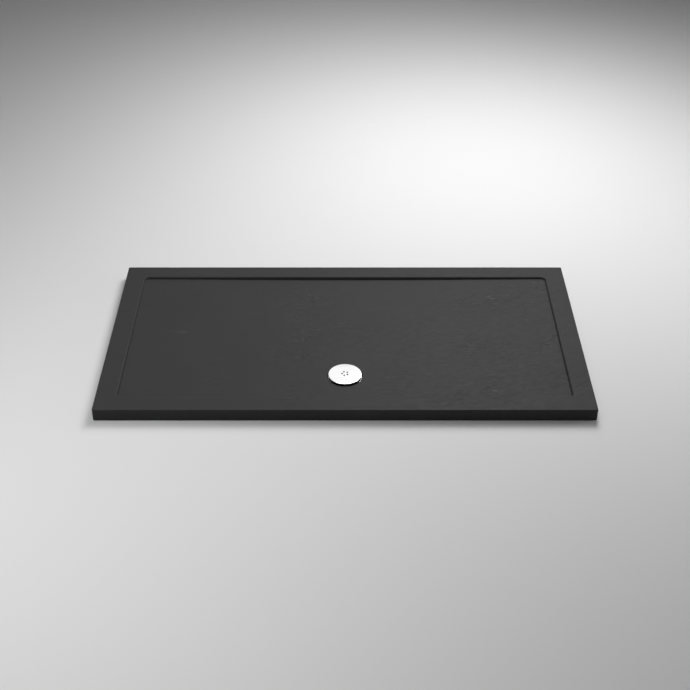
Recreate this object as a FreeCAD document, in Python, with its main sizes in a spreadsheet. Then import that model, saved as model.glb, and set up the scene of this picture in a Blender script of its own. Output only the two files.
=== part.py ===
import FreeCAD, Part
import math
import os
import Sketcher

# Low shower tray with a riven-face skin over a cast core, and its round waste.
# Frame: X along the tray's long side, the front is -Y, +Z up, origin at the base's centre.
# Every piece of the waste is centred on one vertical axis near the middle of the front side.

# Driving sizes, in millimetres, degrees and counts. Each is a cell of the sheet under its alias.
SIZES = {
    # Tray, outside
    "tray_length": 1500,
    "tray_width": 800,
    "tray_height": 40,
    "core_corner": 2,
    "skin_thickness": 3,
    "skirt_lift": 2,
    "rim_edge_radius": 1.4,
    # Basin
    "rim_width": 64.5,
    "basin_corner": 16,
    "basin_edge_radius": 6,
    "wall_draft": 12,
    "cove_radius": 1.5,
    "corner_lip": 6.8,
    # Sump and the way through the tray
    "waste_offset": 190,
    "sump_radius": 54,
    "sump_depth": 8.5,
    "sump_edge_radius": 1.8,
    "sump_base_radius": 1.5,
    "waste_hole_radius": 45,
    "web_thickness": 5.5,
    "relief_radius": 60,
    # Clamp ring
    "clamp_gap": 2,
    "clamp_flange_thickness": 4.5,
    "clamp_clearance": 3,
    "collar_drop": 1.5,
    "collar_thickness": 4,
    "outlet_radius": 34,
    "socket_depth": 9,
    "stop_width": 2.5,
    "stop_thickness": 1.3,
    "spigot_clearance": 1,
    "spigot_gap": 0.3,
    # Gaskets
    "lower_gasket_thickness": 2,
    "upper_gasket_thickness": 1.5,
    "gasket_clearance": 0.5,
    "gasket_inset": 1,
    # Clamping plate of the waste
    "flange_thickness": 2.5,
    "flange_clearance": 2,
    "flange_edge_radius": 0.8,
    "flange_bore_clearance": 0.5,
    # Screws and the inserts they turn into
    "screw_radius": 2,
    "screw_head_radius": 3.8,
    "screw_length": 12,
    "screw_sink": 0.1,
    "screw_clearance": 0.25,
    "screw_tip_gap": 0.8,
    "screw_count": 4,
    "hex_width": 2.5,
    "hex_depth": 1.3,
    "insert_radius": 3,
    "insert_length": 7,
    "thread_clearance": 0.1,
    # Strainer
    "basket_clearance": 0.6,
    "basket_gap": 0.3,
    "basket_floor_thickness": 1.6,
    "basket_wall": 3.2,
    "basket_rim_radius": 38,
    "basket_rim_thickness": 1.4,
    "basket_hole_radius": 2,
    "basket_hole_count": 6,
    "hole_ring_inner": 9,
    "hole_ring_pitch": 8,
    "grip_length": 12,
    "grip_width": 2.4,
    "grip_height": 7,
    # Sealing ring of the strainer
    "ring_section": 2,
    "ring_clearance": 0.3,
    "groove_clearance": 0.1,
    "groove_lift": 2.5,
    # Cover
    "cover_clearance": 2.5,
    "cover_gap": 4.5,
    "cover_height": 3.8,
    "cover_thickness": 1.2,
    "cover_bend_radius": 0.8,
    "crown_radius": 1200,
    "cover_hole_radius": 3,
    "cover_hole_circle": 9.2,
    "cover_hole_start": 40,
    "cover_hole_count": 5,
    # Carrier under the cover
    "carrier_thickness": 1.3,
    "carrier_bore_radius": 24,
    "snap_clearance": 0.1,
    "post_width": 8,
    "post_depth": 9,
    "tongue_width": 6,
    "tongue_thickness": 2,
    "tongue_clearance": 0.6,
    "tongue_gap": 2.3,
    "post_count": 4,
}

# The base of the strainer has this many rings of holes, each with one more share of holes.
BASKET_HOLE_RINGS = 3

# Levels above the floor, from the clamp ring up to the cover.
CLAMP_TOP = "(dims.clamp_gap + dims.clamp_flange_thickness)"
WEB_BASE = f"({CLAMP_TOP} + dims.lower_gasket_thickness)"
SUMP_LEVEL = f"({WEB_BASE} + dims.web_thickness + dims.skin_thickness)"
FLANGE_BASE = f"({SUMP_LEVEL} + dims.upper_gasket_thickness)"
FLANGE_TOP = f"({FLANGE_BASE} + dims.flange_thickness)"
DRAIN_EDGE = f"({SUMP_LEVEL} + dims.sump_depth)"
SPIGOT_TOP = f"({FLANGE_BASE} - dims.spigot_gap)"
COLLAR_BASE = "(dims.clamp_gap - dims.collar_drop)"
STOP_BASE = f"({COLLAR_BASE} + dims.socket_depth)"
STOP_TOP = f"({STOP_BASE} + dims.stop_thickness)"
SCREW_TOP = f"({FLANGE_TOP} - dims.screw_sink)"
SCREW_TIP = f"({SCREW_TOP} - dims.screw_length)"
SCREW_HEAD_HEIGHT = "(dims.screw_head_radius - dims.screw_radius)"
BASKET_BASE = f"({STOP_TOP} + dims.basket_gap)"
BASKET_FLOOR = f"({BASKET_BASE} + dims.basket_floor_thickness)"
BASKET_TOP = f"({FLANGE_TOP} + dims.basket_rim_thickness)"
GROOVE_BASE = f"({BASKET_BASE} + dims.groove_lift)"
GROOVE_HEIGHT = "(dims.ring_section + 2 * dims.groove_clearance)"
COVER_EDGE = f"({DRAIN_EDGE} + dims.cover_gap)"
COVER_TOP = f"({COVER_EDGE} + dims.cover_height)"

# Radii about the waste's axis.
CLAMP_RADIUS = "(dims.relief_radius - dims.clamp_clearance)"
SPIGOT_RADIUS = "(dims.waste_hole_radius - dims.spigot_clearance)"
SCREW_CIRCLE = f"((dims.outlet_radius + {SPIGOT_RADIUS}) / 2)"
GASKET_BORE = "(dims.waste_hole_radius + dims.gasket_clearance)"
FLANGE_RADIUS = "(dims.sump_radius - dims.flange_clearance)"
BASKET_RADIUS = "(dims.outlet_radius - dims.basket_clearance)"
BASKET_INSIDE = f"({BASKET_RADIUS} - dims.basket_wall)"
RING_OUTSIDE = "(dims.outlet_radius - dims.ring_clearance)"
GROOVE_RADIUS = f"({RING_OUTSIDE} - dims.ring_section - dims.groove_clearance)"
COVER_RADIUS = "(dims.sump_radius - dims.cover_clearance)"
CARRIER_RADIUS = f"({COVER_RADIUS} - dims.cover_thickness - dims.cover_bend_radius)"

# The carrier's flat top lies just under the crown, where the crown turns down at its edge.
CARRIER_TOP = (
    f"({COVER_TOP} - dims.crown_radius - dims.snap_clearance"
    f" + sqrt((dims.crown_radius - dims.cover_thickness)^2 - {CARRIER_RADIUS}^2))"
)
CARRIER_BASE = f"({CARRIER_TOP} - dims.carrier_thickness)"

# Places in plan. The floor falls from the basin's far corners to the edge of the sump.
WASTE_TO_CENTRE = "(dims.tray_width / 2 - dims.waste_offset)"
BASIN_LENGTH = "(dims.tray_length - 2 * dims.rim_width)"
BASIN_WIDTH = "(dims.tray_width - 2 * dims.rim_width)"
BASIN_REACH = f"sqrt(({BASIN_LENGTH} / 2)^2 + ({BASIN_WIDTH} / 2 + {WASTE_TO_CENTRE})^2)"
CORNER_LEVEL = "(dims.tray_height - dims.corner_lip)"

NEAR = 0.01
V = FreeCAD.Vector
doc = FreeCAD.newDocument("shower_tray")


def fill_sheet():
    """Put each driving size in the sheet, its name beside it."""
    cells = doc.addObject("Spreadsheet::Sheet", "dims")
    for row, (name, number) in enumerate(SIZES.items(), 1):
        cells.set(f"A{row}", name)
        cells.set(f"B{row}", str(number))
        cells.setAlias(f"B{row}", name)
    doc.recompute()
    return cells


sheet = fill_sheet()


def value(expression):
    """The number that an expression over the sheet gives."""
    return float(sheet.evalExpression(expression))


# Helpers for bodies, sketches and features

def origin_feature(body, role):
    return next(item for item in body.Origin.OriginFeatures if item.Role == role)


def add_body(name, at_waste=True):
    """A body that stands on the waste's axis, or on the tray's centre."""
    body = doc.addObject("PartDesign::Body", name)
    body.Label = name
    if at_waste:
        body.setExpression("Placement.Base.y", f"-{WASTE_TO_CENTRE}")
    return body


def add_sketch(body, name, role="XY_Plane", level=None):
    sketch = body.newObject("Sketcher::SketchObject", f"{body.Name}_{name}")
    sketch.AttachmentSupport = [(origin_feature(body, role), "")]
    sketch.MapMode = "FlatFace"
    if level:
        sketch.setExpression("AttachmentOffset.Base.z", level)
    return sketch


def size(sketch, expression, kind, *where):
    """Add a dimension and bind it to its expression."""
    index = sketch.addConstraint(Sketcher.Constraint(kind, *where, value(expression)))
    sketch.setExpression(f"Constraints[{index}]", expression)


def pin(sketch, element, point, x, y):
    """Hold a point of the sketch at two expressions, measured from the sketch's origin."""
    for axis, kind, expression in ((-2, "DistanceX", x), (-1, "DistanceY", y)):
        if expression == "0":
            sketch.addConstraint(Sketcher.Constraint("PointOnObject", element, point, axis))
        else:
            size(sketch, expression, kind, -1, 1, element, point)


def draw_polygon(sketch, points):
    """Draw a closed outline of straight lines through pairs of expressions."""
    places = [V(value(x), value(y), 0) for x, y in points]
    for start, end in zip(places, places[1:] + places[:1]):
        sketch.addGeometry(Part.LineSegment(start, end))
    for line, (x, y) in enumerate(points):
        following = (line + 1) % len(points)
        sketch.addConstraint(Sketcher.Constraint("Coincident", line, 2, following, 1))
        pin(sketch, line, 1, x, y)


def draw_rectangle(sketch, near, far, width):
    """Draw a rectangle across the sketch's X axis, between two distances along it."""
    side = f"({width} / 2)"
    draw_polygon(sketch, [(near, f"-{side}"), (far, f"-{side}"), (far, side), (near, side)])


def draw_circle(sketch, radius, x="0", y="0"):
    centre = V(value(x), value(y), 0)
    circle = sketch.addGeometry(Part.Circle(centre, V(0, 0, 1), value(radius)))
    size(sketch, radius, "Radius", circle)
    pin(sketch, circle, 3, x, y)


def draw_rounded_rectangle(sketch, length, width, corner, centre_y):
    """Draw a rectangle with rounded corners, centred on the sketch's vertical axis."""
    half_x = value(length) / 2
    half_y = value(width) / 2
    radius = value(corner)
    middle = V(0, value(centre_y), 0)
    for turn in range(4):
        side = FreeCAD.Rotation(V(0, 0, 1), 90 * turn)
        out, along = (half_y, half_x) if turn % 2 == 0 else (half_x, half_y)
        start = middle + side.multVec(V(radius - along, -out, 0))
        end = middle + side.multVec(V(along - radius, -out, 0))
        bend = middle + side.multVec(V(along - radius, radius - out, 0))
        angle = math.radians(90 * (turn - 1))
        circle = Part.Circle(bend, V(0, 0, 1), radius)
        sketch.addGeometry(Part.LineSegment(start, end))
        sketch.addGeometry(Part.ArcOfCircle(circle, angle, angle + math.pi / 2))
    for line in (0, 2, 4, 6):
        sketch.addConstraint(Sketcher.Constraint("Tangent", line, 2, line + 1, 1))
        sketch.addConstraint(Sketcher.Constraint("Tangent", line + 1, 2, (line + 2) % 8, 1))
    sketch.addConstraint(Sketcher.Constraint("Horizontal", 0))
    sketch.addConstraint(Sketcher.Constraint("Symmetric", 2, 1, 6, 2, -2))
    for arc in (3, 5, 7):
        sketch.addConstraint(Sketcher.Constraint("Equal", 1, arc))
    size(sketch, corner, "Radius", 1)
    size(sketch, f"{length} / 2", "DistanceX", -1, 1, 2, 1)
    size(sketch, width, "DistanceY", 0, 1, 4, 2)
    size(sketch, f"{centre_y} + {width} / 2", "DistanceY", -1, 1, 4, 2)


def add_pad(body, sketch, name, length, **settings):
    pad = body.newObject("PartDesign::Pad", f"{body.Name}_{name}")
    pad.Profile = sketch
    pad.setExpression("Length", length)
    for key, setting in settings.items():
        setattr(pad, key, setting)
    return pad


def add_cut(body, sketch, name, depth):
    """Cut down from the sketch's level."""
    pocket = body.newObject("PartDesign::Pocket", f"{body.Name}_{name}")
    pocket.Profile = sketch
    pocket.setExpression("Length", depth)
    return pocket


def add_turned(body, sketch, name, kind, axis=None):
    """Turn a half section about the body's axis, or about the sketch's own centre line."""
    turned = body.newObject(f"PartDesign::{kind}", f"{body.Name}_{name}")
    turned.Profile = sketch
    turned.ReferenceAxis = axis or (origin_feature(body, "Z_Axis"), [""])
    turned.Angle = 360
    return turned


def add_round_pattern(body, features, name, count):
    pattern = body.newObject("PartDesign::PolarPattern", f"{body.Name}_{name}")
    pattern.Originals = features
    pattern.Axis = (origin_feature(body, "Z_Axis"), [""])
    pattern.Angle = 360
    pattern.setExpression("Occurrences", count)
    body.Tip = pattern
    return pattern


def add_fillet(body, base, name, radius, choose):
    """Round the edges that a test picks from the base feature's shape."""
    doc.recompute()
    chosen = choose(base.Shape)
    edges = [
        f"Edge{number}" for number, edge in enumerate(base.Shape.Edges, 1)
        if any(edge.isSame(one) for one in chosen)
    ]
    if not edges:
        raise RuntimeError(f"{body.Name}_{name} found no edge to round")
    fillet = body.newObject("PartDesign::Fillet", f"{body.Name}_{name}")
    fillet.Base = (base, edges)
    fillet.setExpression("Radius", radius)
    return fillet


def add_half_section(body, name, points, kind="Revolution"):
    """Turn a polygon of (radius, level) pairs about the body's axis."""
    sketch = add_sketch(body, name, "XZ_Plane")
    draw_polygon(sketch, points)
    return add_turned(body, sketch, f"{name}_turned", kind)


def add_screw_section(body, name, points, kind="Revolution"):
    """Turn a polygon of (radius, level) pairs about the first screw's centre line."""
    sketch = add_sketch(body, name, "XZ_Plane")
    draw_polygon(sketch, [(f"{SCREW_CIRCLE} + {x}", y) for x, y in points])
    middle = value(SCREW_CIRCLE)
    top = value(FLANGE_TOP)
    line = sketch.addGeometry(Part.LineSegment(V(middle, 0, 0), V(middle, top, 0)), True)
    pin(sketch, line, 1, SCREW_CIRCLE, "0")
    pin(sketch, line, 2, SCREW_CIRCLE, FLANGE_TOP)
    return add_turned(body, sketch, f"{name}_turned", kind, (sketch, ["Axis0"]))


def add_flat_ring(name, base, thickness, inside, outside):
    """A flat ring about the waste's axis."""
    body = add_body(name)
    sketch = add_sketch(body, "plan", level=base)
    draw_circle(sketch, inside)
    draw_circle(sketch, outside)
    add_pad(body, sketch, "pad", thickness)
    return body


def edges_at(level):
    """A test that picks the edges that lie at one level."""
    height = value(level)

    def choose(shape):
        boxes = [(edge, edge.BoundBox) for edge in shape.Edges]
        return [e for e, box in boxes if max(abs(box.ZMin - height), abs(box.ZMax - height)) < NEAR]

    return choose


def circle_at(level, radius):
    """A test that picks the edges at one level that run round the waste's axis."""
    reach = value(radius)
    at_level = edges_at(level)
    return lambda shape: [e for e in at_level(shape) if abs(e.BoundBox.XMax - reach) < NEAR]


def rim_edges(level, at_basin):
    """A test that picks the rim's edges at one level, round the basin or round the tray."""
    reach_x = value(f"({BASIN_LENGTH} + dims.rim_width) / 2")
    reach_y = value(f"({BASIN_WIDTH} + dims.rim_width) / 2")
    at_level = edges_at(level)

    def choose(shape):
        middles = [(edge, edge.CenterOfMass) for edge in at_level(shape)]
        within = [(e, abs(m.x) < reach_x and abs(m.y) < reach_y) for e, m in middles]
        return [edge for edge, is_within in within if is_within == at_basin]

    return choose


def wall_foot(level):
    """A test that picks the lower edges of the faces that come up to one level."""
    limit = value(level) - NEAR

    def choose(shape):
        walls = [face for face in shape.Faces if face.BoundBox.ZMin < limit < face.BoundBox.ZMax]
        return [edge for wall in walls for edge in wall.Edges if edge.BoundBox.ZMax < limit]

    return choose


# Tray: the skin is what lies between the outer form and the core form

def add_basin_space(name, outset):
    """The space in the basin and sump: drafted walls over a floor that falls to the sump."""
    body = add_body(name)
    growth = f"({outset} * tan(45 - dims.wall_draft / 2))"
    opening = add_sketch(body, "opening", level=f"dims.tray_height - {outset}")
    draw_rounded_rectangle(
        opening,
        f"({BASIN_LENGTH} + 2 * {growth})",
        f"({BASIN_WIDTH} + 2 * {growth})",
        f"dims.basin_corner + {growth}",
        WASTE_TO_CENTRE,
    )
    walls = add_pad(body, opening, "walls", f"dims.tray_height - {DRAIN_EDGE}", Reversed=True)
    walls.setExpression("TaperAngle", "-dims.wall_draft")
    sump = f"(dims.sump_radius + {outset})"
    edge_level = f"({DRAIN_EDGE} - {outset})"
    base_level = f"({SUMP_LEVEL} - {outset})"
    reach = f"({BASIN_REACH} + {outset})"
    under_floor = [
        (sump, "0"),
        (sump, edge_level),
        (reach, f"{CORNER_LEVEL} - {outset}"),
        (reach, "0"),
    ]
    floor = add_half_section(body, "under_floor", under_floor, "Groove")
    foot = wall_foot(f"dims.tray_height - {outset}")
    cove = add_fillet(body, floor, "cove", f"dims.cove_radius + {outset}", foot)
    sump_plan = add_sketch(body, "sump_plan", level=base_level)
    draw_circle(sump_plan, sump)
    well = add_pad(body, sump_plan, "sump_pad", f"dims.tray_height - {SUMP_LEVEL}")
    base_edge = circle_at(base_level, sump)
    base = add_fillet(body, well, "sump_base", f"dims.sump_base_radius + {outset}", base_edge)
    return body, base


def add_form(name, basin, base, height, corner, growth):
    """A plain slab, from its base level up, with the basin's space taken out of it."""
    body = add_body(name, at_waste=False)
    plan = add_sketch(body, "plan", level=base)
    draw_rounded_rectangle(
        plan,
        f"(dims.tray_length - 2 * {growth})",
        f"(dims.tray_width - 2 * {growth})",
        corner,
        "0",
    )
    add_pad(body, plan, "slab", height)
    hollow = body.newObject("PartDesign::Boolean", f"{name}_hollow")
    hollow.Type = "Cut"
    hollow.setObjects([basin])
    return body, hollow


def add_skin_form():
    """The tray's outer surface, with the rim's two edges and the sump's edge rounded."""
    basin, last = add_basin_space("skin_basin", "0")
    sump_edge = circle_at(DRAIN_EDGE, "dims.sump_radius")
    add_fillet(basin, last, "sump_edge", "dims.sump_edge_radius", sump_edge)
    corner = "dims.core_corner + dims.skin_thickness"
    height = "dims.tray_height - dims.skirt_lift"
    body, hollow = add_form("skin_form", basin, "dims.skirt_lift", height, corner, "0")
    outer_edges = rim_edges("dims.tray_height", False)
    outer = add_fillet(body, hollow, "outer_edges", "dims.rim_edge_radius", outer_edges)
    basin_edges = rim_edges("dims.tray_height", True)
    add_fillet(body, outer, "basin_edges", "dims.basin_edge_radius", basin_edges)
    return body


def add_core_form():
    """The core's outer surface, one skin thickness inside the tray's."""
    skin = "dims.skin_thickness"
    basin, _ = add_basin_space("core_basin", skin)
    height = f"dims.tray_height - {skin}"
    body, hollow = add_form("core_form", basin, "0", height, "dims.core_corner", skin)
    basin_edges = rim_edges(height, True)
    add_fillet(body, hollow, "basin_edges", f"dims.basin_edge_radius - {skin}", basin_edges)
    return body


def add_cylinder(name, radius, height):
    cylinder = doc.addObject("Part::Cylinder", name)
    cylinder.setExpression("Radius", radius)
    cylinder.setExpression("Height", height)
    cylinder.setExpression("Placement.Base.y", f"-{WASTE_TO_CENTRE}")
    return cylinder


def join(name, kind, base, tool):
    result = doc.addObject(f"Part::{kind}", name)
    result.Label = name
    result.Base = base
    result.Tool = tool
    return result


def make_tray():
    """The skin and the core, which share every face where they are bonded."""
    skin_form = add_skin_form()
    core_form = add_core_form()
    way_through = add_cylinder("waste_hole", "dims.waste_hole_radius", "dims.tray_height")
    relief = add_cylinder("waste_relief", "dims.relief_radius", WEB_BASE)
    core = join("tray_core", "Cut", core_form, join("core_openings", "Fuse", way_through, relief))
    under_skin = join("under_skin", "Fuse", core_form, way_through)
    cap = join("tray_cap", "Cut", skin_form, under_skin)
    return [cap, core]


# Fixed pieces of the waste

def make_clamp_ring():
    """Flange, spigot through the tray, and the socket with the pipe's stop."""
    body = add_body("clamp_ring")
    outlet = "dims.outlet_radius"
    collar = f"({outlet} + dims.collar_thickness)"
    stop = f"({outlet} - dims.stop_width)"
    section = [
        (outlet, COLLAR_BASE),
        (collar, COLLAR_BASE),
        (collar, "dims.clamp_gap"),
        (CLAMP_RADIUS, "dims.clamp_gap"),
        (CLAMP_RADIUS, CLAMP_TOP),
        (SPIGOT_RADIUS, CLAMP_TOP),
        (SPIGOT_RADIUS, SPIGOT_TOP),
        (outlet, SPIGOT_TOP),
        (outlet, STOP_TOP),
        (stop, STOP_TOP),
        (stop, STOP_BASE),
        (outlet, STOP_BASE),
    ]
    add_half_section(body, "section", section)
    doc.recompute()
    insert_bore = add_sketch(body, "insert_bore", level=SPIGOT_TOP)
    draw_circle(insert_bore, "dims.insert_radius", SCREW_CIRCLE)
    seat = add_cut(body, insert_bore, "insert_seat", "dims.insert_length")
    tip_bore = add_sketch(body, "tip_bore", level=SPIGOT_TOP)
    draw_circle(tip_bore, "dims.screw_radius + dims.screw_clearance", SCREW_CIRCLE)
    depth = f"{SPIGOT_TOP} - {SCREW_TIP} + dims.screw_tip_gap"
    tip = add_cut(body, tip_bore, "tip_room", depth)
    add_round_pattern(body, [seat, tip], "bores", "dims.screw_count")
    return body


def make_gaskets():
    lower = add_flat_ring(
        "lower_gasket", CLAMP_TOP, "dims.lower_gasket_thickness",
        GASKET_BORE, f"{CLAMP_RADIUS} - dims.gasket_inset",
    )
    upper = add_flat_ring(
        "upper_gasket", SUMP_LEVEL, "dims.upper_gasket_thickness", GASKET_BORE, FLANGE_RADIUS,
    )
    return [lower, upper]


def make_waste_flange():
    """The clamping plate, with a countersunk hole for each screw."""
    bore = "dims.outlet_radius + dims.flange_bore_clearance"
    body = add_flat_ring(
        "waste_flange", FLANGE_BASE, "dims.flange_thickness", bore, FLANGE_RADIUS,
    )
    outer_edge = circle_at(FLANGE_TOP, FLANGE_RADIUS)
    add_fillet(body, body.Tip, "edge", "dims.flange_edge_radius", outer_edge)
    doc.recompute()
    hole = "(dims.screw_radius + dims.screw_clearance)"
    section = [
        ("0", FLANGE_BASE),
        (hole, FLANGE_BASE),
        (hole, f"{FLANGE_TOP} - {SCREW_HEAD_HEIGHT}"),
        (f"{hole} + {SCREW_HEAD_HEIGHT}", FLANGE_TOP),
        ("0", FLANGE_TOP),
    ]
    holes = add_screw_section(body, "countersink", section, "Groove")
    add_round_pattern(body, [holes], "countersinks", "dims.screw_count")
    return body


def make_flange_screws():
    """Countersunk screws with a hexagonal recess."""
    body = add_body("flange_screws")
    body.AllowCompound = True
    section = [
        ("0", SCREW_TIP),
        ("dims.screw_radius", SCREW_TIP),
        ("dims.screw_radius", f"{SCREW_TOP} - {SCREW_HEAD_HEIGHT}"),
        ("dims.screw_head_radius", SCREW_TOP),
        ("0", SCREW_TOP),
    ]
    screw = add_screw_section(body, "section", section)
    doc.recompute()
    recess = add_sketch(body, "recess", level=SCREW_TOP)
    corner = "(dims.hex_width / sqrt(3))"
    turns = [60 * step for step in range(6)]
    draw_polygon(recess, [
        (f"{SCREW_CIRCLE} + {corner} * cos({turn})", f"{corner} * sin({turn})") for turn in turns
    ])
    cut = add_cut(body, recess, "recess_cut", "dims.hex_depth")
    add_round_pattern(body, [screw, cut], "all", "dims.screw_count")
    return body


def make_thread_inserts():
    body = add_body("thread_inserts")
    body.AllowCompound = True
    bore = "(dims.screw_radius + dims.thread_clearance)"
    base = f"({SPIGOT_TOP} - dims.insert_length)"
    section = [
        (bore, base),
        ("dims.insert_radius", base),
        ("dims.insert_radius", SPIGOT_TOP),
        (bore, SPIGOT_TOP),
    ]
    insert = add_screw_section(body, "section", section)
    add_round_pattern(body, [insert], "all", "dims.screw_count")
    return body


# Strainer, which lifts out of the waste

def make_strainer_basket():
    """A shallow cup that hangs by its rim on the clamping plate."""
    body = add_body("strainer_basket")
    groove_top = f"{GROOVE_BASE} + {GROOVE_HEIGHT}"
    section = [
        ("0", BASKET_BASE),
        (BASKET_RADIUS, BASKET_BASE),
        (BASKET_RADIUS, GROOVE_BASE),
        (GROOVE_RADIUS, GROOVE_BASE),
        (GROOVE_RADIUS, groove_top),
        (BASKET_RADIUS, groove_top),
        (BASKET_RADIUS, FLANGE_TOP),
        ("dims.basket_rim_radius", FLANGE_TOP),
        ("dims.basket_rim_radius", BASKET_TOP),
        (BASKET_INSIDE, BASKET_TOP),
        (BASKET_INSIDE, BASKET_FLOOR),
        ("0", BASKET_FLOOR),
    ]
    add_half_section(body, "section", section)
    doc.recompute()
    for ring in range(BASKET_HOLE_RINGS):
        circle = f"dims.hole_ring_inner + {ring} * dims.hole_ring_pitch"
        sketch = add_sketch(body, f"hole_{ring}", level=BASKET_FLOOR)
        draw_circle(sketch, "dims.basket_hole_radius", circle)
        hole = add_cut(body, sketch, f"hole_cut_{ring}", "dims.basket_floor_thickness")
        doc.recompute()
        count = f"{ring + 1} * dims.basket_hole_count"
        add_round_pattern(body, [hole], f"hole_ring_{ring}", count)
        doc.recompute()
    grip = add_sketch(body, "grip", level=BASKET_FLOOR)
    draw_rectangle(grip, "-dims.grip_length / 2", "dims.grip_length / 2", "dims.grip_width")
    add_pad(body, grip, "grip_pad", "dims.grip_height")
    return body


def make_strainer_o_ring():
    """A round ring in the basket's groove."""
    ring = doc.addObject("Part::Torus", "strainer_o_ring")
    ring.Label = "strainer_o_ring"
    ring.setExpression("Radius1", f"{RING_OUTSIDE} - dims.ring_section / 2")
    ring.setExpression("Radius2", "dims.ring_section / 2")
    ring.setExpression("Placement.Base.y", f"-{WASTE_TO_CENTRE}")
    ring.setExpression("Placement.Base.z", f"{GROOVE_BASE} + {GROOVE_HEIGHT} / 2")
    return ring


# Cover, which lifts off the strainer

def draw_dome(sketch, inset):
    """Half section of the cover's outside, or of its inside when inset by its thickness."""
    radius = f"({COVER_RADIUS} - {inset})"
    bend = f"(dims.cover_bend_radius + dims.cover_thickness - {inset})"
    crown = f"(dims.crown_radius - {inset})"
    top = f"({COVER_TOP} - {inset})"
    edge_z = value(COVER_EDGE)
    crown_middle = V(0, value(top) - value(crown), 0)
    bend_x = value(radius) - value(bend)
    bend_rise = math.sqrt((value(crown) - value(bend)) ** 2 - bend_x ** 2)
    bend_middle = crown_middle + V(bend_x, bend_rise, 0)
    lean = math.atan2(bend_rise, bend_x)
    foot = V(value(radius), edge_z, 0)
    shoulder = V(value(radius), bend_middle.y, 0)
    axis_foot = V(0, edge_z, 0)
    axis_top = V(0, value(top), 0)
    up = V(0, 0, 1)
    sketch.addGeometry(Part.LineSegment(axis_foot, foot))
    sketch.addGeometry(Part.LineSegment(foot, shoulder))
    sketch.addGeometry(Part.ArcOfCircle(Part.Circle(bend_middle, up, value(bend)), 0, lean))
    sketch.addGeometry(
        Part.ArcOfCircle(Part.Circle(crown_middle, up, value(crown)), lean, math.pi / 2)
    )
    sketch.addGeometry(Part.LineSegment(axis_top, axis_foot))
    sketch.addConstraint([
        Sketcher.Constraint("Coincident", 0, 2, 1, 1),
        Sketcher.Constraint("Tangent", 1, 2, 2, 1),
        Sketcher.Constraint("Tangent", 2, 2, 3, 1),
        Sketcher.Constraint("Coincident", 3, 2, 4, 1),
        Sketcher.Constraint("Coincident", 4, 2, 0, 1),
        Sketcher.Constraint("Vertical", 1),
        Sketcher.Constraint("PointOnObject", 3, 3, -2),
    ])
    pin(sketch, 0, 1, "0", COVER_EDGE)
    pin(sketch, 1, 1, radius, COVER_EDGE)
    pin(sketch, 4, 1, "0", top)
    size(sketch, bend, "Radius", 2)
    size(sketch, crown, "Radius", 3)


def make_waste_cover():
    """A pressed disc with a slight crown, a turned-down edge and small round holes."""
    body = add_body("waste_cover")
    outside = add_sketch(body, "outside", "XZ_Plane")
    draw_dome(outside, "0")
    add_turned(body, outside, "dome", "Revolution")
    doc.recompute()
    inside = add_sketch(body, "inside", "XZ_Plane")
    draw_dome(inside, "dims.cover_thickness")
    add_turned(body, inside, "hollow", "Groove")
    doc.recompute()
    first = add_sketch(body, "hole", level=COVER_TOP)
    across = "dims.cover_hole_circle * cos(dims.cover_hole_start)"
    ahead = "dims.cover_hole_circle * sin(dims.cover_hole_start)"
    draw_circle(first, "dims.cover_hole_radius", across, ahead)
    hole = add_cut(body, first, "hole_cut", "dims.cover_height")
    add_round_pattern(body, [hole], "holes", "dims.cover_hole_count")
    return body


def make_cover_carrier():
    """A ring under the cover, with posts on the strainer's rim and tongues inside it."""
    body = add_body("cover_carrier")
    half_way_between_screws = value("180 / dims.screw_count")
    body.Placement.Rotation = FreeCAD.Rotation(V(0, 0, 1), half_way_between_screws)
    plan = add_sketch(body, "plan", level=CARRIER_BASE)
    draw_circle(plan, "dims.carrier_bore_radius")
    draw_circle(plan, CARRIER_RADIUS)
    add_pad(body, plan, "ring", "dims.carrier_thickness")
    doc.recompute()
    tongue_outside = f"({BASKET_INSIDE} - dims.tongue_clearance)"
    tongue_inside = f"({tongue_outside} - dims.tongue_thickness)"
    post = add_sketch(body, "post", level=BASKET_TOP)
    draw_rectangle(post, tongue_inside, f"{tongue_inside} + dims.post_depth", "dims.post_width")
    posts = add_pad(body, post, "post_pad", f"{CARRIER_BASE} - {BASKET_TOP}")
    tongue = add_sketch(body, "tongue", level=BASKET_TOP)
    draw_rectangle(tongue, tongue_inside, tongue_outside, "dims.tongue_width")
    length = f"{BASKET_TOP} - {BASKET_FLOOR} - dims.tongue_gap"
    tongues = add_pad(body, tongue, "tongue_pad", length, Reversed=True)
    add_round_pattern(body, [posts, tongues], "legs", "dims.post_count")
    return body


def make_all():
    pieces = make_tray()
    pieces += make_gaskets()
    pieces.append(make_clamp_ring())
    pieces.append(make_waste_flange())
    pieces.append(make_flange_screws())
    pieces.append(make_thread_inserts())
    pieces.append(make_strainer_basket())
    pieces.append(make_strainer_o_ring())
    pieces.append(make_waste_cover())
    pieces.append(make_cover_carrier())
    doc.recompute()
    return pieces


def check(pieces):
    """Stop if a feature failed or a piece isn't a sound solid."""
    for item in doc.Objects:
        faults = {"Invalid", "Error"} & set(item.State)
        if faults:
            raise RuntimeError(f"{item.Label} failed: {sorted(faults)}")
    for piece in pieces:
        if piece.Shape.isNull() or not piece.Shape.isValid() or not piece.Shape.Solids:
            raise RuntimeError(f"{piece.Label} has no sound solid")


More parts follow.
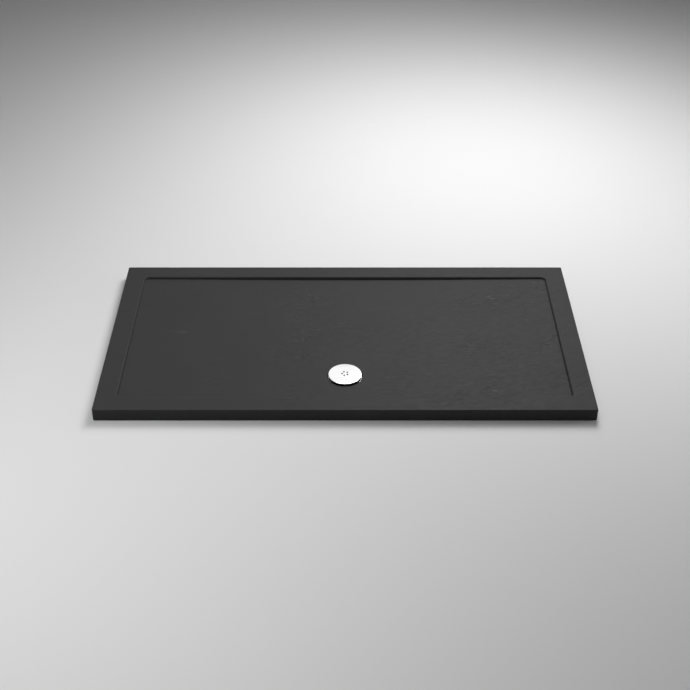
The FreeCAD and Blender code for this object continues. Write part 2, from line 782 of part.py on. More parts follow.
def write(pieces):
    os.makedirs("parts", exist_ok=True)
    for piece in pieces:
        piece.Shape.exportStep(f"parts/{piece.Label}.step")
        box = piece.Shape.BoundBox
        print(
            f"{piece.Label:18s} {len(piece.Shape.Solids):2d} solids {piece.Shape.Volume:14.1f} mm3"
            f"  x {box.XMin:8.2f} {box.XMax:8.2f}  y {box.YMin:8.2f} {box.YMax:8.2f}"
            f"  z {box.ZMin:6.2f} {box.ZMax:6.2f}"
        )


pieces = make_all()
check(pieces)
write(pieces)
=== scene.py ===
import math

import bmesh
import bpy
import numpy as np
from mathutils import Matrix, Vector


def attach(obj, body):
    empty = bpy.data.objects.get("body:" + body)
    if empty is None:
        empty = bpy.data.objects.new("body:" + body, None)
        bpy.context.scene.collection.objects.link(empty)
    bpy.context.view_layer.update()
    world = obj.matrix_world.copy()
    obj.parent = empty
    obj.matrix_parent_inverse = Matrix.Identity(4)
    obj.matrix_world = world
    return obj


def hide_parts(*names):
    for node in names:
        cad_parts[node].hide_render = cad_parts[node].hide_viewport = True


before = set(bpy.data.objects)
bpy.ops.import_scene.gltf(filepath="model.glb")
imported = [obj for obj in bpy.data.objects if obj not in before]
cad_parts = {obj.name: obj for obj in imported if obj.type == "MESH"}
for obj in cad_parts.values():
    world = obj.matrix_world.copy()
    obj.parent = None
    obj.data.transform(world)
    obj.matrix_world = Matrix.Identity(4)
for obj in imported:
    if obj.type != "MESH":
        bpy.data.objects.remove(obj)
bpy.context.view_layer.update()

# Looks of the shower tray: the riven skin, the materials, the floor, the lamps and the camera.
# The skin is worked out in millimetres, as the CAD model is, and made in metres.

MM = 0.001

# Sizes of the tray's skin, in millimetres, as in the CAD model
HALF_LENGTH = 750.0
HALF_WIDTH = 400.0
TOP = 40.0
SKIRT_BASE = 2.0
SKIN = 3.0
RIM = 64.5
BASIN_CORNER = 16.0
BASIN_EDGE_ROUND = 6.0
WALL_LEAN = math.radians(12)
WALL_STEEP = math.pi / 2 - WALL_LEAN
COVE = 1.5
EDGE_ROUND = 1.4
PLAN_CORNER = 5.0
WASTE_Y = -210.0
SUMP = 54.0
SUMP_EDGE_ROUND = 1.8
SUMP_BASE_ROUND = 1.5
SUMP_LEVEL = 17.0
SUMP_LIP = SUMP + SUMP_EDGE_ROUND
DRAIN_EDGE = 25.5
FLOOR_SLOPE = 0.009367
HOLE = 45.0

# The basin's corners turn about these centres, and all reaches are measured from them.
CENTRE_X = HALF_LENGTH - RIM - BASIN_CORNER
CENTRE_Y = HALF_WIDTH - RIM - BASIN_CORNER
TRAY_REACH = RIM + BASIN_CORNER
LAST_FLAT = TRAY_REACH - EDGE_ROUND

# Mesh of the skin: spacing on the floor, half the square around the sump, and steps per zone
PITCH = 4.3
PATCH = 74.0
PATCH_RINGS = 8
PATCH_CROWDING = 1.2
FLOOR_RINGS = 3
COVE_RINGS = 4
WALL_RINGS = 2
BASIN_ROUND_RINGS = 7
ROUND_RINGS = 4
RIM_RINGS = 13
QUARTER_STEPS = 5
SUMP_FLAT_RING = 48.5
SIDE_LEVELS = (27.0, 14.0, SKIRT_BASE)

# Points stand so many times closer round a corner than along its sides.
CORNER_CROWDING = 2.5

# A ring about the waste starts here, at a corner of the square.
FIRST_ANGLE = -0.75 * math.pi


# Noise

def gradient_noise(x, y, seed):
    """Smooth noise over the plane, from about -0.7 to 0.7, with cells one unit wide."""
    source = np.random.default_rng(seed)
    order = source.permutation(256)
    angle = source.uniform(0, 2 * math.pi, 256)
    left, low = np.floor(x).astype(int), np.floor(y).astype(int)
    fx, fy = x - left, y - low
    ease_x, ease_y = (t * t * t * (t * (6 * t - 15) + 10) for t in (fx, fy))

    def at(i, j):
        turn = angle[order[(order[(left + i) & 255] + low + j) & 255]]
        return np.cos(turn) * (fx - i) + np.sin(turn) * (fy - j)

    near = at(0, 0) * (1 - ease_x) + at(1, 0) * ease_x
    far = at(0, 1) * (1 - ease_x) + at(1, 1) * ease_x
    return near * (1 - ease_y) + far * ease_y


def layered_noise(x, y, seed, layers=3):
    """Noise in layers, each twice as fine and half as strong as the one before."""
    total = 0
    for layer in range(layers):
        scale = 2 ** layer
        total = total + gradient_noise(x * scale, y * scale, seed + layer) / scale
    return total


def ease(low, high, t):
    """From 0 at low to 1 at high, level at both ends."""
    t = np.clip((t - low) / (high - low), 0, 1)
    return t * t * (3 - 2 * t)


# Riven relief, in millimetres below the plain surface

# Places where the face is flaked: x, y, spread and strength
FLAKED = (
    (-120, 205, 90, 1.0), (-40, 238, 60, 0.8), (-205, 200, 50, 0.7), (-130, 95, 80, 0.8),
    (-140, -5, 90, 1.0), (-150, -95, 95, 1.0), (-165, -200, 80, 0.7), (-155, -312, 80, 1.0),
    (88, -17, 85, 0.7), (5, 57, 65, 0.7), (176, -83, 65, 0.6), (163, -256, 55, 0.7),
    (538, 205, 110, 1.0), (640, 262, 90, 1.0), (425, 205, 80, 0.9), (590, 110, 70, 0.7),
    (400, -56, 85, 0.9), (520, -85, 90, 0.8), (638, -56, 90, 0.9), (740, 28, 60, 0.8),
    (657, -266, 85, 0.8), (471, -292, 90, 0.9), (333, -316, 75, 0.9), (560, -180, 80, 0.6),
    (-533, 28, 45, 0.6), (-395, -266, 60, 0.7), (-493, 298, 45, 0.4), (-700, 120, 60, 0.4),
)
FLAKED_ELSEWHERE = 0.06

# Directions in which the flakes and the painted highlight streaks run
GRAIN = math.radians(30)
HIGHLIGHT_STREAK = math.radians(38)

# Flakes: length along the grain, width across it, depth of one ledge, and most ledges
FLAKE_LENGTH = 85
FLAKE_WIDTH = 34
LEDGE = 0.27
LEDGES = 3
DEEPEST_WAVE = 0.12


def flaked(x, y):
    """How flaked the face is at each place, from 0 to 1."""
    most = np.full(np.shape(x), FLAKED_ELSEWHERE)
    for place_x, place_y, spread, strength in FLAKED:
        away = ((x - place_x) ** 2 + (y - place_y) ** 2) / spread ** 2
        most = np.maximum(most, strength * np.exp(-away))
    ragged = 0.75 + 0.6 * layered_noise(x / 60, y / 45, 11)
    return np.clip(most * ragged, 0, 1)


def relief(x, y):
    """How deep the riven face lies: slow waves all over, and ledges where it is flaked."""
    along = x * math.cos(GRAIN) + y * math.sin(GRAIN)
    across = y * math.cos(GRAIN) - x * math.sin(GRAIN)
    along = along + 14 * layered_noise(x / 50, y / 50, 21)
    across = across + 9 * layered_noise(x / 40, y / 40, 31)
    wave = 0.06 + 0.08 * layered_noise(x / 300, y / 220, 41, 2)
    height = 1.9 * layered_noise(along / FLAKE_LENGTH, across / FLAKE_WIDTH, 51)
    step = np.floor(height)
    ledge = step + ease(0.6, 1.0, height - step) + 1
    depth = flaked(x, y) * LEDGE * np.clip(ledge, 0, LEDGES)
    return np.clip(wave, 0, DEEPEST_WAVE) + depth


def sump_fade(x, y):
    """0 by the sump, where the face stays plain, and 1 away from it."""
    return ease(SUMP + 4, SUMP + 18, np.hypot(x, y - WASTE_Y))


# Skin

def cone(x, y):
    """Level of the basin's floor, which falls to the sump."""
    return DRAIN_EDGE + FLOOR_SLOPE * (np.hypot(x, y - WASTE_Y) - SUMP)


def lines_between(marks):
    """Places along one axis, in equal steps near the pitch from mark to mark."""
    steps = [
        np.linspace(low, high, round((high - low) / PITCH), endpoint=False)
        for low, high in zip(marks, marks[1:])
    ]
    return np.append(np.concatenate(steps), marks[-1])


def section_rings():
    """Rings from the floor out over the rim, each as start, by_foot, rise and by_floor.

    Its reach is start + by_foot * foot, and its level is rise + by_floor * the floor's level.
    foot is how far the wall's foot lies outside the opening's edge, a negative number.
    """
    tangent = COVE * math.tan(WALL_STEEP / 2)
    rings = [
        ((BASIN_CORNER - tangent) * k / FLOOR_RINGS, k / FLOOR_RINGS, 0, 1)
        for k in range(FLOOR_RINGS + 1)
    ]
    for k in range(1, COVE_RINGS + 1):
        turn = WALL_STEEP * k / COVE_RINGS
        reach = BASIN_CORNER - tangent + COVE * math.sin(turn)
        rings.append((reach, 1, COVE * (1 - math.cos(turn)), 1))
    foot_reach, _, foot_rise, _ = rings[-1]
    round_reach = BASIN_CORNER + BASIN_EDGE_ROUND * math.tan(WALL_STEEP / 2)
    top_reach = round_reach - BASIN_EDGE_ROUND * math.sin(WALL_STEEP)
    top_level = TOP - BASIN_EDGE_ROUND * (1 - math.cos(WALL_STEEP))
    for k in range(1, WALL_RINGS + 1):
        up = k / WALL_RINGS
        reach = foot_reach * (1 - up) + top_reach * up
        rings.append((reach, 1 - up, foot_rise * (1 - up) + top_level * up, 1 - up))
    for k in range(1, BASIN_ROUND_RINGS + 1):
        turn = WALL_STEEP * (1 - k / BASIN_ROUND_RINGS)
        reach = round_reach - BASIN_EDGE_ROUND * math.sin(turn)
        rings.append((reach, 0, TOP - BASIN_EDGE_ROUND * (1 - math.cos(turn)), 0))
    for k in range(1, RIM_RINGS + 1):
        rings.append((round_reach + (LAST_FLAT - round_reach) * k / RIM_RINGS, 0, TOP, 0))
    for k in range(1, ROUND_RINGS + 1):
        turn = math.pi / 2 * k / ROUND_RINGS
        level = TOP - EDGE_ROUND * (1 - math.cos(turn))
        rings.append((LAST_FLAT + EDGE_ROUND * math.sin(turn), 0, level, 0))
    return np.array(rings)


def sump_section():
    """Pairs of radius and level, from the sump's lip down to its hole and through the skin."""
    lip_level = float(cone(SUMP_LIP, WASTE_Y))
    base_radius, base_level = SUMP - SUMP_BASE_ROUND, SUMP_LEVEL + SUMP_BASE_ROUND
    quarter = [math.pi / 2 * k / QUARTER_STEPS for k in range(1, QUARTER_STEPS + 1)]
    section = [
        (SUMP_LIP - SUMP_EDGE_ROUND * math.sin(t), lip_level - SUMP_EDGE_ROUND * (1 - math.cos(t)))
        for t in quarter
    ]
    section += [(SUMP, (section[-1][1] + base_level) / 2), (SUMP, base_level)]
    section += [
        (base_radius + SUMP_BASE_ROUND * math.cos(t), base_level - SUMP_BASE_ROUND * math.sin(t))
        for t in quarter
    ]
    return section + [(SUMP_FLAT_RING, SUMP_LEVEL), (HOLE, SUMP_LEVEL), (HOLE, SUMP_LEVEL - SKIN)]


def corner_offset(reach, radius, share):
    """From a corner's centre to a rounded square, at a share of the way to its diagonal."""
    flat = reach - radius
    split = flat / np.maximum(flat + CORNER_CROWDING * radius * math.pi / 4, 1e-9)
    angle = math.pi / 4 * (share - split) / np.maximum(1 - split, 1e-9)
    straight = share < split
    ahead = np.where(straight, reach, flat + radius * np.cos(angle))
    along = flat * share / np.maximum(split, 1e-9)
    return ahead, np.where(straight, along, flat + radius * np.sin(angle))


def corner_radius(reach):
    """Round like the basin's corner inside, and like the tray's own corner outside."""
    inner = BASIN_CORNER + BASIN_EDGE_ROUND
    outer = PLAN_CORNER - EDGE_ROUND
    part = (reach - inner) / (LAST_FLAT - inner)
    between = inner + (outer - inner) * part
    beyond = reach - TRAY_REACH + PLAN_CORNER
    return np.where(reach < inner, reach, np.where(reach < LAST_FLAT, between, beyond))


class Ways:
    """Where the mesh's rows and columns stand, and which way each node lies from its centre."""

    def __init__(self, column, row, x_lines, y_lines):
        last_x, last_y = len(x_lines) - 1, len(y_lines) - 1
        ring_x = np.maximum(0, np.maximum(-column, column - last_x))
        ring_y = np.maximum(0, np.maximum(-row, row - last_y))
        self.x = x_lines[np.clip(column, 0, last_x)]
        self.y = y_lines[np.clip(row, 0, last_y)]
        self.sign_x = np.where(column < 0, -1, 1)
        self.sign_y = np.where(row < 0, -1, 1)
        self.ring = np.maximum(ring_x, ring_y)
        self.share = np.minimum(ring_x, ring_y) / np.maximum(self.ring, 1)
        self.turned = ring_y > ring_x

    def place(self, reach, radius):
        """Plan of a rounded square at a reach, with that radius at its corners."""
        ahead, aside = corner_offset(reach, radius, self.share)
        across = np.where(self.turned, aside, ahead)
        up = np.where(self.turned, ahead, aside)
        return self.x + self.sign_x * across, self.y + self.sign_y * up

    def wall_foot(self, mouth):
        """Reach of the leaning wall's foot on the floor, below a mouth at its own reach."""
        foot = np.full(self.ring.shape, mouth)
        for _ in range(4):
            foot = mouth - (TOP - cone(*self.place(foot, foot))) * math.tan(WALL_LEAN)
        return foot


def ring_angles(count):
    """Angles of a ring's points about the waste's axis."""
    return FIRST_ANGLE + 2 * math.pi * np.arange(count) / count


def rising_angles(points):
    """Rising angles of a closed loop about the waste's axis, with the first repeated at the end."""
    angle = np.unwrap(np.arctan2(points[:, 1] - WASTE_Y, points[:, 0]))
    angle = angle - 2 * math.pi * round((angle[0] - FIRST_ANGLE) / (2 * math.pi))
    return np.append(angle, angle[0] + 2 * math.pi)


class Mesh:
    """Gathers points and faces, and makes a Blender object of them."""

    def __init__(self):
        self.points = []
        self.faces = []

    def add(self, x, y, z):
        """Add points and return their numbers."""
        start = sum(len(block) for block in self.points)
        block = np.stack(np.broadcast_arrays(x, y, z), -1).reshape(-1, 3)
        self.points.append(block)
        return np.arange(start, start + len(block))

    def add_ring(self, count, radius, level):
        """Add a circle about the waste's axis."""
        turn = ring_angles(count)
        return self.add(radius * np.cos(turn), WASTE_Y + radius * np.sin(turn), level)

    def join(self, one, other):
        """Faces between two closed loops with as many points."""
        after, beyond = np.roll(one, -1), np.roll(other, -1)
        self.faces += np.stack([one, after, beyond, other], -1).tolist()

    def turn(self, loop, section):
        """Join a loop to circles at pairs of radius and level, one after another."""
        for radius, level in section:
            added = self.add_ring(len(loop), radius, level)
            self.join(loop, added)
            loop = added
        return loop

    def fan(self, one, other):
        """Triangles between two closed loops about the waste's axis, with any numbers of points."""
        points = np.concatenate(self.points)
        angle_one, angle_other = rising_angles(points[one]), rising_angles(points[other])
        count_one, count_other = len(one), len(other)
        i = j = 0
        while i < count_one or j < count_other:
            next_one = angle_one[i + 1] if i < count_one else math.inf
            next_other = angle_other[j + 1] if j < count_other else math.inf
            a, b = one[i % count_one], other[j % count_other]
            if next_one <= next_other:
                self.faces.append([a, one[(i + 1) % count_one], b])
                i += 1
            else:
                self.faces.append([a, other[(j + 1) % count_other], b])
                j += 1

    def make(self, name):
        """A Blender object, in metres, with all its faces turned outward."""
        mesh = bpy.data.meshes.new(name)
        mesh.from_pydata((np.concatenate(self.points) * MM).tolist(), [], self.faces)
        work = bmesh.new()
        work.from_mesh(mesh)
        bmesh.ops.recalc_face_normals(work, faces=work.faces)
        work.to_mesh(mesh)
        work.free()
        made = bpy.data.objects.new(name, mesh)
        bpy.context.collection.objects.link(made)
        return made


def add_face(mesh, ways, rings):
    """The floor, wall and rim, but for the square around the sump. Returns the grid's numbers."""
    start, by_foot, rise, by_floor = (rings[ways.ring, k] for k in range(4))
    reach = start + by_foot * (ways.wall_foot(BASIN_CORNER) - BASIN_CORNER)
    x, y = ways.place(reach, corner_radius(reach))
    inside_edge = np.where(ways.ring > 0, TRAY_REACH - reach, TRAY_REACH)
    drop = relief(x, y) * sump_fade(x, y) * ease(0.3, 4, inside_edge)
    number = mesh.add(x, y, rise + by_floor * cone(x, y) - drop).reshape(x.shape)
    quads = np.stack([number[:-1, :-1], number[1:, :-1], number[1:, 1:], number[:-1, 1:]], -1)
    middle_x = (x[:-1, :-1] + x[1:, 1:]) / 2
    middle_y = (y[:-1, :-1] + y[1:, 1:]) / 2 - WASTE_Y
    in_patch = (np.abs(middle_x) < PATCH) & (np.abs(middle_y) < PATCH)
    mesh.faces += quads[~in_patch].tolist()
    return number


def patch_border(number, x_lines, y_lines, outer):
    """Numbers round the square around the sump, from its front left corner to the right."""
    west, east = (int(np.argmin(np.abs(x_lines - s))) + outer for s in (-PATCH, PATCH))
    south, north = (
        int(np.argmin(np.abs(y_lines - WASTE_Y - s))) + outer for s in (-PATCH, PATCH)
    )
    return np.concatenate([
        number[west:east, south],
        number[east, south:north],
        number[east:west:-1, north],
        number[west, north:south:-1],
    ])


def add_patch(mesh, square):
    """From the square around the sump in to the circle of its lip. Returns the circle."""
    border = np.concatenate(mesh.points)[square]
    turn = ring_angles(len(square))
    lip_x, lip_y = SUMP_LIP * np.cos(turn), WASTE_Y + SUMP_LIP * np.sin(turn)
    loop = square
    for k in range(1, PATCH_RINGS + 1):
        part = 1 - (1 - k / PATCH_RINGS) ** PATCH_CROWDING
        x = border[:, 0] * (1 - part) + lip_x * part
        y = border[:, 1] * (1 - part) + lip_y * part
        added = mesh.add(x, y, cone(x, y) - relief(x, y) * sump_fade(x, y))
        mesh.join(loop, added)
        loop = added
    return loop


def grid_border(columns, rows):
    """Column and row of each place round a grid's border, from its front left corner."""
    last_column, last_row = columns - 1, rows - 1
    return np.concatenate([
        np.stack([np.arange(last_column), np.zeros(last_column, int)], -1),
        np.stack([np.full(last_row, last_column), np.arange(last_row)], -1),
        np.stack([np.arange(last_column, 0, -1), np.full(last_column, last_row)], -1),
        np.stack([np.zeros(last_row, int), np.arange(last_row, 0, -1)], -1),
    ]).T


def add_hidden_side(mesh, ways, loop, count):
    """Down the outer side, round under the skirt, and over the core to a circle in the sump."""

    def lead(reach, radius, level):
        nonlocal loop
        reach, radius = (np.broadcast_to(number, loop.shape) for number in (reach, radius))
        added = mesh.add(*ways.place(reach, radius), level)
        mesh.join(loop, added)
        loop = added

    for level in SIDE_LEVELS:
        lead(TRAY_REACH, PLAN_CORNER, level)
    for level in (SKIRT_BASE, TOP - SKIN):
        lead(TRAY_REACH - SKIN, PLAN_CORNER - SKIN, level)
    half_tan = math.tan(WALL_STEEP / 2)
    mouth = BASIN_CORNER + SKIN * half_tan
    inner_round = BASIN_EDGE_ROUND - SKIN
    for part in (0, 0.33, 0.67, 1):
        t = WALL_STEEP * part
        reach = mouth + inner_round * (half_tan - math.sin(t))
        lead(reach, reach, TOP - SKIN - inner_round * (1 - math.cos(t)))
    cove = COVE + SKIN
    start = ways.wall_foot(mouth) - cove * half_tan
    for part in (1, 0.6, 0.25, 0):
        t = WALL_STEEP * part
        reach = start + cove * math.sin(t)
        lead(reach, reach, cone(*ways.place(reach, reach)) - SKIN + cove * (1 - math.cos(t)))
    inner_sump = SUMP + SKIN
    base_round = SUMP_BASE_ROUND + SKIN
    base_level = SUMP_LEVEL - SKIN
    edge = mesh.add_ring(count, inner_sump, float(cone(inner_sump, WASTE_Y)) - SKIN)
    mesh.fan(loop, edge)
    return mesh.turn(edge, [
        (inner_sump - base_round * (1 - math.cos(t)), base_level + base_round * (1 - math.sin(t)))
        for t in (0, math.pi / 6, math.pi / 3, math.pi / 2)
    ])


def make_skin():
    """The whole skin as one closed mesh, which carries its flaking and its relief as attributes."""
    mesh = Mesh()
    x_lines = lines_between((-CENTRE_X, -PATCH, PATCH, CENTRE_X))
    y_lines = lines_between((-CENTRE_Y, WASTE_Y - PATCH, WASTE_Y + PATCH, CENTRE_Y))
    rings = section_rings()
    outer = len(rings) - 1
    columns = np.arange(-outer, len(x_lines) + outer)
    rows = np.arange(-outer, len(y_lines) + outer)
    ways = Ways(*np.meshgrid(columns, rows, indexing="ij"), x_lines, y_lines)
    number = add_face(mesh, ways, rings)
    square = patch_border(number, x_lines, y_lines, outer)
    hole = mesh.turn(add_patch(mesh, square), sump_section())
    column, row = grid_border(*number.shape)
    side = Ways(column - outer, row - outer, x_lines, y_lines)
    last = add_hidden_side(mesh, side, number[column, row], len(square))
    mesh.join(last, hole)

    skin = mesh.make("slate_skin")
    x, y, _ = np.concatenate(mesh.points).T
    for name, numbers in (("flaked", flaked(x, y)), ("riven", relief(x, y))):
        attribute = skin.data.attributes.new(name, "FLOAT", "POINT")
        attribute.data.foreach_set("value", numbers.astype(np.float32))
    skin.data.shade_smooth()
    skin.data.set_sharp_from_angle(angle=math.radians(40))
    return skin


skin = make_skin()
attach(skin, "tray")
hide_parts("tray_cap")


# Materials

class Nodes:
    """Makes and joins the nodes of one tree."""

    def __init__(self, tree):
        self.tree = tree

    def feed(self, socket, source):
        """Link a socket or set its number, unless the source is None."""
        if isinstance(source, bpy.types.NodeSocket):
            self.tree.links.new(source, socket)
        elif source is not None:
            socket.default_value = source

    def node(self, kind, *inputs, **settings):
        made = self.tree.nodes.new("ShaderNode" + kind)
        for key, setting in settings.items():
            setattr(made, key, setting)
        for socket, source in zip(made.inputs, inputs):
            self.feed(socket, source)
        return made

    def math(self, operation, one, other=None):
        return self.node("Math", one, other, operation=operation).outputs[0]

    def span(self, source, low, high, from_low=0.3, from_high=0.7):
        """Stretch a range, by default a noise's usual one, to a range of numbers."""
        return self.node("MapRange", source, from_low, from_high, low, high).outputs[0]


class Material(Nodes):
    """One material's nodes. The shader's plain numbers are set by name."""

    def __init__(self, name, **numbers):
        self.material = bpy.data.materials.new(name)
        self.material.use_nodes = True
        super().__init__(self.material.node_tree)
        self.shader = self.tree.nodes["Principled BSDF"]
        self.place = self.node("TexCoord").outputs["Object"]
        self.set(**numbers)

    def set(self, **sources):
        """Feed the shader's sockets by name, and return the material."""
        for key, source in sources.items():
            self.feed(self.shader.inputs[key.replace("_", " ")], source)
        return self.material

    def mapped(self, scale, turn=0.0):
        made = self.node("Mapping", self.place)
        made.inputs["Rotation"].default_value = (0, 0, turn)
        made.inputs["Scale"].default_value = scale
        return made.outputs[0]

    def noise(self, scale, detail=4.0, roughness=0.5, vector=None, distortion=0.0):
        made = self.node("TexNoise", vector or self.place)
        made.inputs["Scale"].default_value = scale
        made.inputs["Detail"].default_value = detail
        made.inputs["Roughness"].default_value = roughness
        made.inputs["Distortion"].default_value = distortion
        return made.outputs["Fac"]

    def ramp(self, source, *stops):
        """A ramp through pairs of place and colour."""
        made = self.node("ValToRGB", source)
        elements = made.color_ramp.elements
        while len(elements) < len(stops):
            elements.new(0.5)
        for element, (place, colour) in zip(elements, stops):
            element.position = place
            element.color = (*colour, 1)
        return made.outputs[0]

    def bump(self, height, distance, under=None, strength=1.0):
        """Bumps so many metres high, on top of the ones given."""
        made = self.node("Bump")
        made.inputs["Strength"].default_value = strength
        made.inputs["Distance"].default_value = distance
        self.feed(made.inputs["Height"], height)
        self.feed(made.inputs["Normal"], under)
        return made.outputs[0]


def grey(number):
    return (number,) * 3


BLACK, WHITE = grey(0.0), grey(1.0)


def slate():
    """Dark riven acrylic: a nearly even grey with a cloudy tone, painted shade in the cleavage's
    clefts and painted light on its ridges, and, where it is flaked, raised streaks painted pale as
    highlights.
    """
    m = Material("slate_skin", IOR=1.46, Specular_IOR_Level=0.12)
    rough = m.node("Attribute", attribute_name="flaked").outputs["Fac"]
    riven = m.node("Attribute", attribute_name="riven").outputs["Fac"]
    cloud = m.noise(5, 5, 0.55)
    cleave = m.noise(38, 7, 0.6, m.mapped((1, 2.6, 1), -GRAIN), 0.6)
    speck = m.noise(900, 2)
    # Painted shade and light: the colour follows the cleavage bump, darker in its clefts and
    # lighter on its ridges, over a cloudy tone that differs at random.
    cloud_tone_and_cleft_shade = m.math("ADD", m.math("MULTIPLY", cloud, 0.35), m.math("MULTIPLY", cleave, 0.65))
    base = m.ramp(
        cloud_tone_and_cleft_shade, (0.3, (0.030, 0.030, 0.031)), (0.5, (0.034, 0.034, 0.035)),
        (0.7, (0.039, 0.039, 0.040)),
    )

    # Streaks are a noise's middle level, broken up, and only where the face is flaked: raised in
    # the bump, and painted pale in the colour as highlights.
    lines = m.noise(9, 3, 0.5, m.mapped((1, 4.5, 1), -HIGHLIGHT_STREAK), 0.4)
    line = m.ramp(lines, (0.484, BLACK), (0.495, WHITE), (0.505, WHITE), (0.516, BLACK))
    broken = m.math("MULTIPLY", line, m.span(m.noise(17, 2), 0.0, 1.0, 0.52, 0.6))
    ridge_and_painted_highlight = m.math("MULTIPLY", broken, m.span(rough, 0.0, 1.0))
    mix = m.node("Mix", ridge_and_painted_highlight, data_type="RGBA")
    mix_from, mix_to, mixed = mix.inputs[6], mix.inputs[7], mix.outputs[2]
    m.feed(mix_from, base)
    # The streaks' pale colour is a painted highlight.
    m.feed(mix_to, (0.08, 0.08, 0.081, 1))

    cleft = m.math("MULTIPLY", cleave, m.span(rough, 0.2, 1.0, 0.0, 0.8))
    normal = m.bump(speck, 0.00008)
    normal = m.bump(cleft, 0.0014, normal)
    normal = m.bump(m.math("SUBTRACT", 1.0, riven), 0.005, normal)
    normal = m.bump(ridge_and_painted_highlight, 0.0006, normal)
    return m.set(Base_Color=mixed, Roughness=m.span(cleave, 0.5, 0.66), Normal=normal)


def cast_resin():
    """Pale core of cast resin and mineral filler."""
    m = Material("cast_core")
    cloud = m.noise(14, 5)
    grit = m.noise(1100, 3, 0.7)
    colour = m.ramp(
        m.math("ADD", m.math("MULTIPLY", cloud, 0.5), m.math("MULTIPLY", grit, 0.5)),
        (0.36, (0.36, 0.34, 0.31)), (0.46, (0.50, 0.48, 0.44)), (0.62, (0.57, 0.55, 0.51)),
    )
    pits = m.ramp(m.noise(420, 2), (0.3, BLACK), (0.4, WHITE))
    normal = m.bump(pits, 0.0004, m.bump(grit, 0.00015), 0.6)
    return m.set(Base_Color=colour, Roughness=m.span(cloud, 0.7, 0.85), Normal=normal)


def moulded(name, dark, light, roughness, grain=1600):
    """Moulded plastic or rubber with a fine even grain."""
    m = Material(name)
    cloud = m.noise(60, 4)
    return m.set(
        Base_Color=m.ramp(cloud, (0.3, dark), (0.7, light)),
        Roughness=m.span(cloud, roughness - 0.06, roughness + 0.06),
        Normal=m.bump(m.noise(grain, 2, 0.6), 0.00004),
    )


def turned_metal(name, dark, light, roughness, centre_y=None):
    """Metal with fine rings left by turning, about one axis or in straight lines."""
    m = Material(name, Metallic=1.0)
    if centre_y is None:
        lines = m.noise(1, 3, 0.6, m.mapped((300, 12000, 300)))
    else:
        at = m.node("SeparateXYZ", m.place).outputs
        off = m.math("SUBTRACT", at["Y"], centre_y)
        squares = [m.math("MULTIPLY", length, length) for length in (at["X"], off)]
        radius = m.math("SQRT", m.math("ADD", *squares))
        lines = m.noise(5200, 3, 0.6, m.node("CombineXYZ", radius, 0.0, at["Z"]).outputs[0])
    return m.set(
        Base_Color=m.ramp(m.noise(40, 4), (0.3, dark), (0.7, light)),
        Roughness=m.span(lines, roughness - 0.07, roughness + 0.09),
        Normal=m.bump(lines, 0.000012),
    )


def chrome():
    """Polished plate, with the faint haze that water leaves."""
    m = Material("cover_chrome", Metallic=1.0)
    haze = m.noise(45, 6, 0.6)
    return m.set(
        Base_Color=m.ramp(haze, (0.3, (0.94, 0.94, 0.943)), (0.7, (0.97, 0.97, 0.973))),
        Roughness=m.span(haze, 0.04, 0.09),
        Normal=m.bump(m.noise(25, 2), 0.00002),
    )


skin_material = slate()
seal_material = moulded("seal_rubber", grey(0.014), grey(0.026), 0.6, 2400)
NODE_MATERIALS = {
    "tray_cap": skin_material,
    "tray_core": cast_resin(),
    "waste_cover": chrome(),
    "cover_carrier": moulded("carrier_plastic", grey(0.024), grey(0.036), 0.48),
    "strainer_basket": moulded("strainer_plastic", (0.5, 0.51, 0.52), (0.58, 0.59, 0.6), 0.42),
    "strainer_o_ring": seal_material,
    "waste_flange": turned_metal("flange_steel", grey(0.54), grey(0.64), 0.26, WASTE_Y * MM),
    "flange_screws": turned_metal("screw_steel", grey(0.52), grey(0.66), 0.3),
    "upper_gasket": seal_material,
    "lower_gasket": seal_material,
    "clamp_ring": moulded("clamp_plastic", (0.72, 0.72, 0.71), (0.79, 0.79, 0.78), 0.5),
    "thread_inserts": turned_metal("insert_brass", (0.64, 0.45, 0.19), (0.74, 0.54, 0.26), 0.32),
}
skin.data.materials.append(skin_material)
for name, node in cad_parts.items():
    for holder in node.material_slots:
        holder.material = NODE_MATERIALS[name]


# Floor, world, lamps and camera, in metres

FLOOR_HALF = 12.0
FLOOR_LEVEL = -0.3 * MM

# The floor turns pale by itself between these distances from a place behind the tray.
PALE_CENTRE = (0, 1.4, 0)
PALE_FROM, PALE_WHOLE = 3.6, 5.0

# Strength of the world: as a light, and as reflections see it from low down to overhead
AMBIENT = 0.06
SKY_LOW = 0.55
SKY_RISE = (0.485, 0.55)

# The camera was fitted to the tray's corners in the photo.
CAMERA_PLACE = (0, -3.3314, 2.3538)
CAMERA_TILT = math.radians(90 - 35.33)
CAMERA_LENS = 65.82


def make_floor():
    """A pale floor, which stays pale to the camera beyond the reach of the lamps."""
    mesh = bpy.data.meshes.new("floor")
    low, high = -FLOOR_HALF, FLOOR_HALF
    corners = [(low, low, 0), (high, low, 0), (high, high, 0), (low, high, 0)]
    mesh.from_pydata(corners, [], [(0, 1, 2, 3)])
    made = bpy.data.objects.new("floor", mesh)
    made.location.z = FLOOR_LEVEL
    bpy.context.collection.objects.link(made)
    m = Material("floor", Roughness=0.8, Specular_IOR_Level=0.2)
    away = m.node("VectorMath", m.place, PALE_CENTRE, operation="DISTANCE").outputs["Value"]
    path = m.node("LightPath").outputs
    seen = m.math("MAXIMUM", path["Is Camera Ray"], path["Is Glossy Ray"])
    mesh.materials.append(m.set(
        Base_Color=(*grey(0.8), 1),
        Emission_Color=(*grey(0.75), 1),
        Emission_Strength=m.math("MULTIPLY", m.span(away, 0.0, 1.0, PALE_FROM, PALE_WHOLE), seen),
    ))


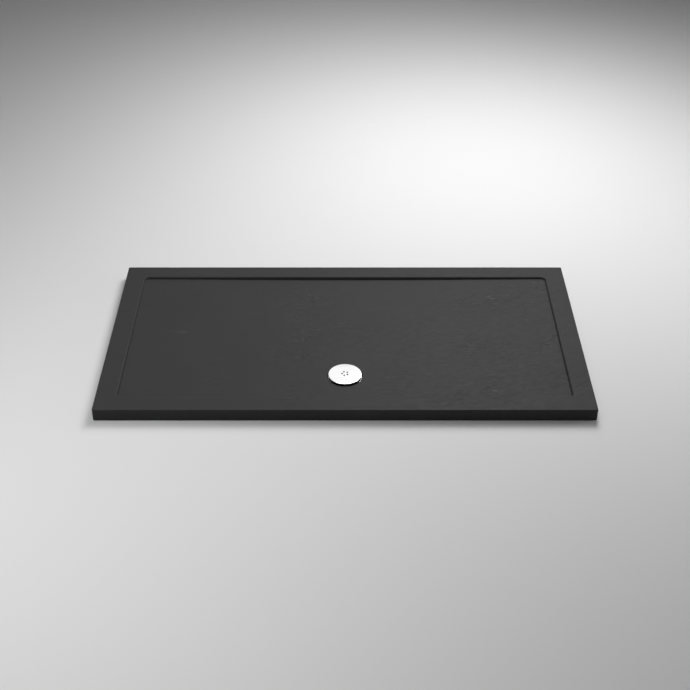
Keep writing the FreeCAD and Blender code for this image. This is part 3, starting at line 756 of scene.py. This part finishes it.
def make_world():
    """Dim for the light that it gives, white where it is seen, white overhead in reflections."""
    world = bpy.data.worlds.new("studio")
    bpy.context.scene.world = world
    world.use_nodes = True
    nodes = Nodes(world.node_tree)
    background = nodes.tree.nodes["Background"]
    path = nodes.node("LightPath").outputs
    direction = nodes.node("SeparateXYZ", nodes.node("TexCoord").outputs["Generated"])
    overhead = nodes.span(direction.outputs["Z"], SKY_LOW, 1.0, *SKY_RISE)
    mirrored = nodes.math("MULTIPLY", path["Is Glossy Ray"], overhead)
    seen = nodes.math("MAXIMUM", path["Is Camera Ray"], path["Is Transmission Ray"])
    shown = nodes.math("MAXIMUM", seen, mirrored)
    nodes.feed(background.inputs["Strength"], nodes.span(shown, AMBIENT, 1.0, 0.0, 1.0))
    nodes.feed(background.inputs["Color"], (*WHITE, 1))


def make_lamp(name, place, aim, size, power, spread=180):
    """A round lamp, its size in metres, its power in watts and its spread in degrees."""
    data = bpy.data.lights.new(name, "AREA")
    data.shape = "DISK"
    data.size = size
    data.energy = power
    data.spread = math.radians(spread)
    lamp = bpy.data.objects.new(name, data)
    lamp.location = place
    direction = Vector(aim) - Vector(place)
    lamp.rotation_euler = direction.to_track_quat("-Z", "Y").to_euler()
    bpy.context.collection.objects.link(lamp)


def make_camera():
    data = bpy.data.cameras.new("camera")
    data.sensor_width = 36.0
    data.lens = CAMERA_LENS
    camera = bpy.data.objects.new("camera", data)
    camera.location = CAMERA_PLACE
    camera.rotation_euler = (CAMERA_TILT, 0, 0)
    bpy.context.collection.objects.link(camera)
    bpy.context.scene.camera = camera


make_floor()
make_world()
make_lamp("key", (0.67, 1.57, 1.97), (0, 0, 0), 1.4, 43)
make_lamp("overhead", (0.35, 1.1, 2.6), (0.3, 0.95, 0), 1.8, 19)
make_lamp("left", (-1.5, -0.9, 2.6), (-1.5, -0.9, 0), 1.3, 9.5, 90)
make_lamp("front", (-0.5, -1.8, 2.6), (-0.5, -1.8, 0), 1.3, 3.5, 90)
make_lamp("right", (2.4, -0.1, 0.9), (0, 0, 0), 0.8, 5)
make_camera()
bpy.context.scene.view_settings.view_transform = "Standard"
